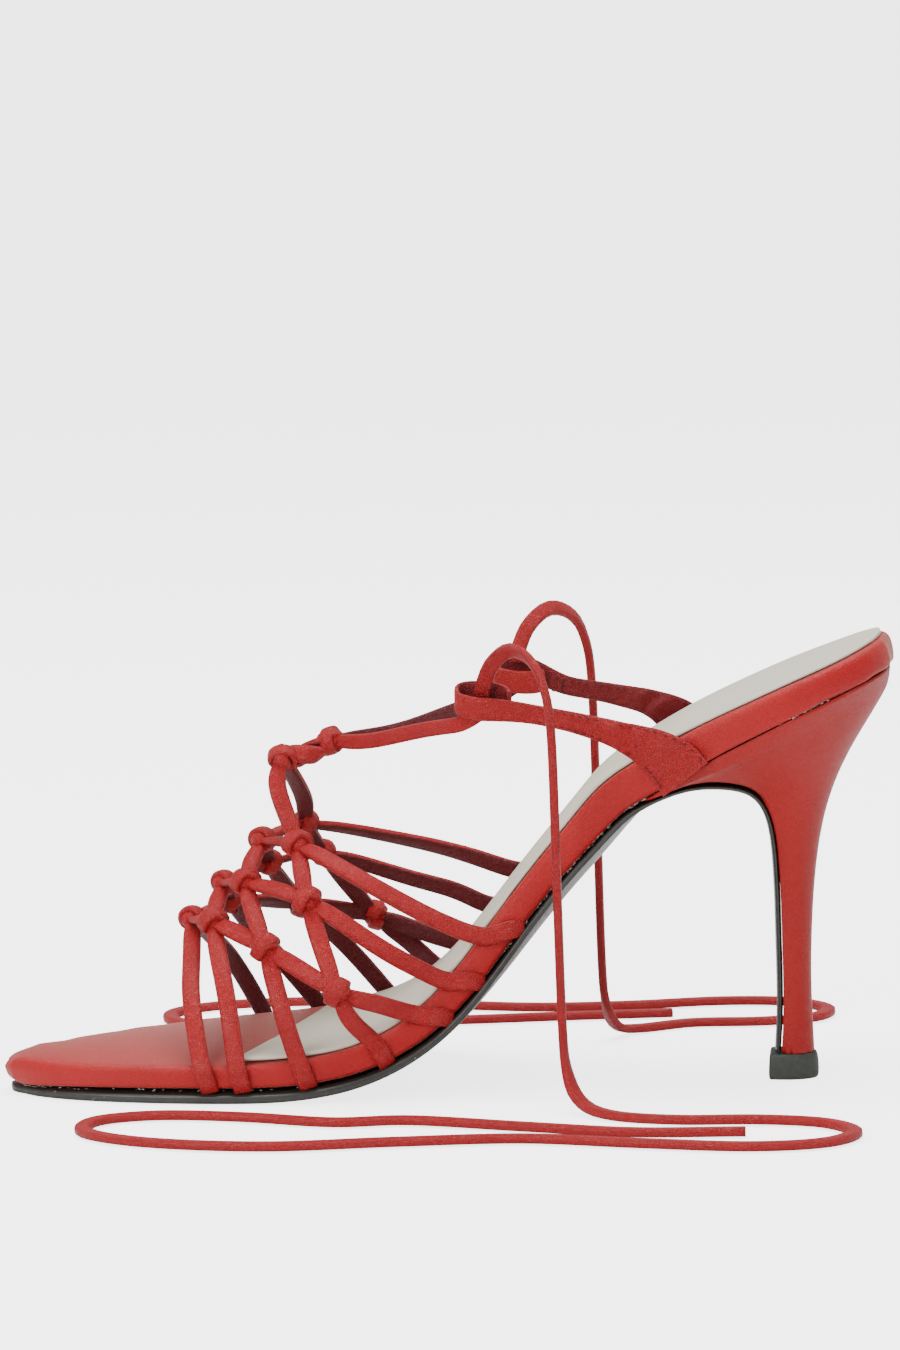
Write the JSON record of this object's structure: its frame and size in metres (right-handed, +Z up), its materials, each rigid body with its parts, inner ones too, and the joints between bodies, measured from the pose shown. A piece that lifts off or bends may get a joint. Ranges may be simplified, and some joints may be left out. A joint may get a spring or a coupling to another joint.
{
  "type": "leg wrap sandal",
  "caption": "Right high heeled sandal with a net of knotted red leather straps, loops beside the heel and two long leg ties lying loose on the floor.",
  "frame": {"origin": "on the floor under the ball of the foot, where the outsole touches it", "axes": "+X towards the heel, +Y towards the outer side of the foot, +Z up"},
  "size_m": [0.2215, 0.1912, 0.117],
  "materials": {
    "rand_leather": "satin",
    "strap_leather": "satin",
    "heel_leather": "satin",
    "sole_black": "gloss",
    "tip_black": "matte",
    "sock_grey": "matte"
  },
  "bodies": {
    "root": {"footbed": "rand_leather", "insole": "sock_grey", "outsole": "sole_black", "heel": "heel_leather", "heel_tip": "tip_black", "upper": "strap_leather", "ear_medial": "rand_leather", "ear_lateral": "rand_leather", "tie_medial": "strap_leather", "tie_lateral": "strap_leather"}
  },
  "joints": []
}
